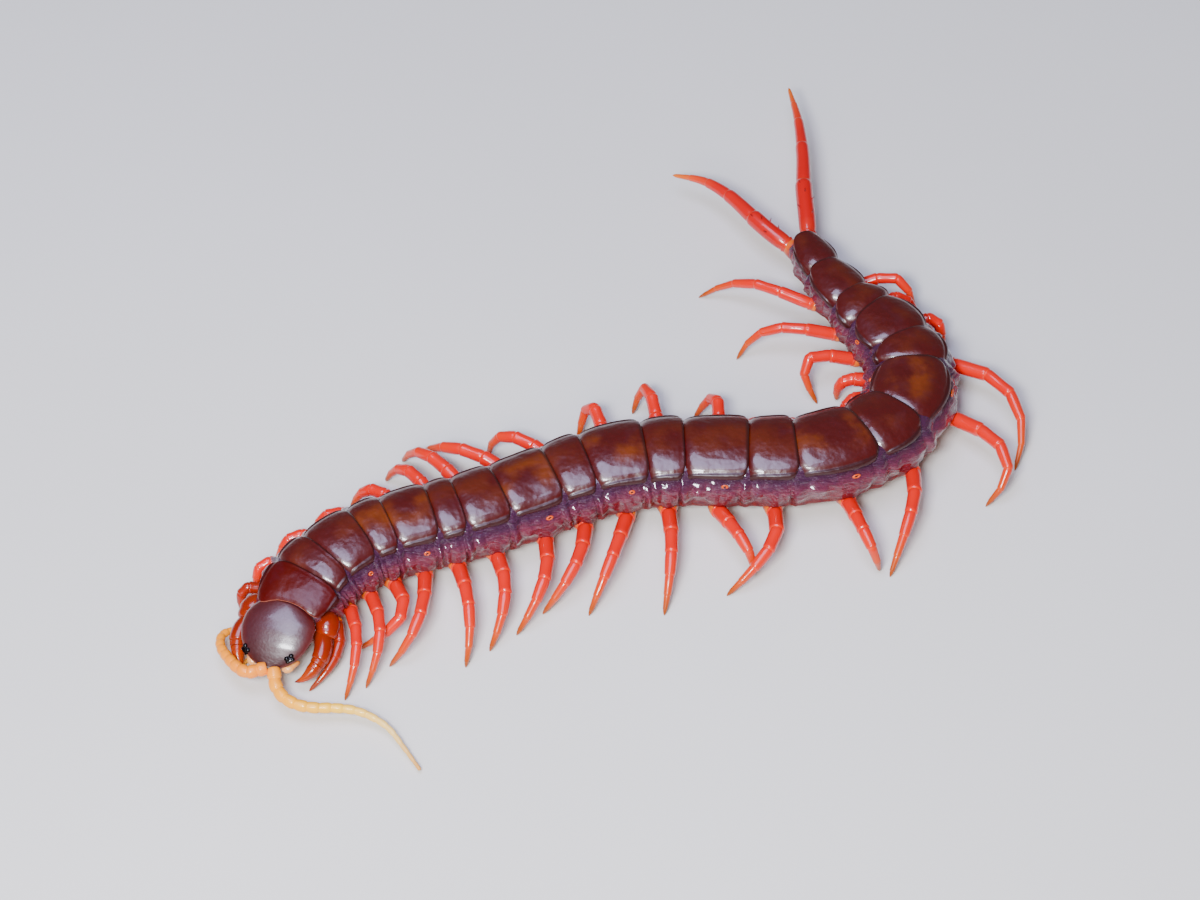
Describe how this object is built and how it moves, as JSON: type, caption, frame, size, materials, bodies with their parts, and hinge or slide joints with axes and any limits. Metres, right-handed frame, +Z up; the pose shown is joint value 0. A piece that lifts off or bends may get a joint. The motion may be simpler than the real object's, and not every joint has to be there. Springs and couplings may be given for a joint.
{
  "type": "giant centipede model",
  "caption": "Still life-size model of a giant centipede standing on the floor, its long plated body in a wide hooked curve and its legs spread to both sides.",
  "frame": {"origin": "middle of the animal's box, on the floor it stands on", "axes": "+Z up; -Y towards the head end, which points down and to the left of the body's hook seen from above; +Y towards the raised last legs; +X towards the bend of the hook"},
  "size_m": [0.1344, 0.1492, 0.0139],
  "materials": {
    "plate": "glossy dark maroon cuticle",
    "head": "glossy maroon cuticle with a grey sheen",
    "eye": "glossy black",
    "antenna": "satin peach orange",
    "claw": "glossy orange brown",
    "palp": "satin cream orange",
    "leg": "glossy coral red"
  },
  "bodies": {
    "root": {"head": "head", "eye_left": "eye", "eye_right": "eye", "antenna_left": "antenna", "antenna_right": "antenna", "forcipule_left": "claw", "forcipule_right": "claw", "forcipule_base": "claw", "palp_left": "palp", "palp_right": "palp", "trunk_1": "plate", "trunk_2": "plate", "trunk_3": "plate", "trunk_4": "plate", "trunk_5": "plate", "trunk_6": "plate", "trunk_7": "plate", "leg_left_01": "leg", "leg_left_02": "leg", "leg_left_03": "leg", "leg_left_04": "leg", "leg_left_05": "leg", "leg_left_06": "leg", "leg_left_07": "leg", "leg_left_08": "leg", "leg_left_09": "leg", "leg_left_10": "leg", "leg_left_11": "leg", "leg_left_12": "leg", "leg_left_13": "leg", "leg_left_14": "leg", "leg_left_15": "leg", "leg_left_16": "leg", "leg_left_17": "leg", "leg_left_18": "leg", "leg_left_19": "leg", "leg_left_20": "leg", "leg_left_21": "leg", "leg_right_01": "leg", "leg_right_02": "leg", "leg_right_03": "leg", "leg_right_04": "leg", "leg_right_05": "leg", "leg_right_06": "leg", "leg_right_07": "leg", "leg_right_08": "leg", "leg_right_09": "leg", "leg_right_10": "leg", "leg_right_11": "leg", "leg_right_12": "leg", "leg_right_13": "leg", "leg_right_14": "leg", "leg_right_15": "leg", "leg_right_16": "leg", "leg_right_17": "leg", "leg_right_18": "leg", "leg_right_19": "leg", "leg_right_20": "leg", "leg_right_21": "leg"}
  },
  "joints": []
}
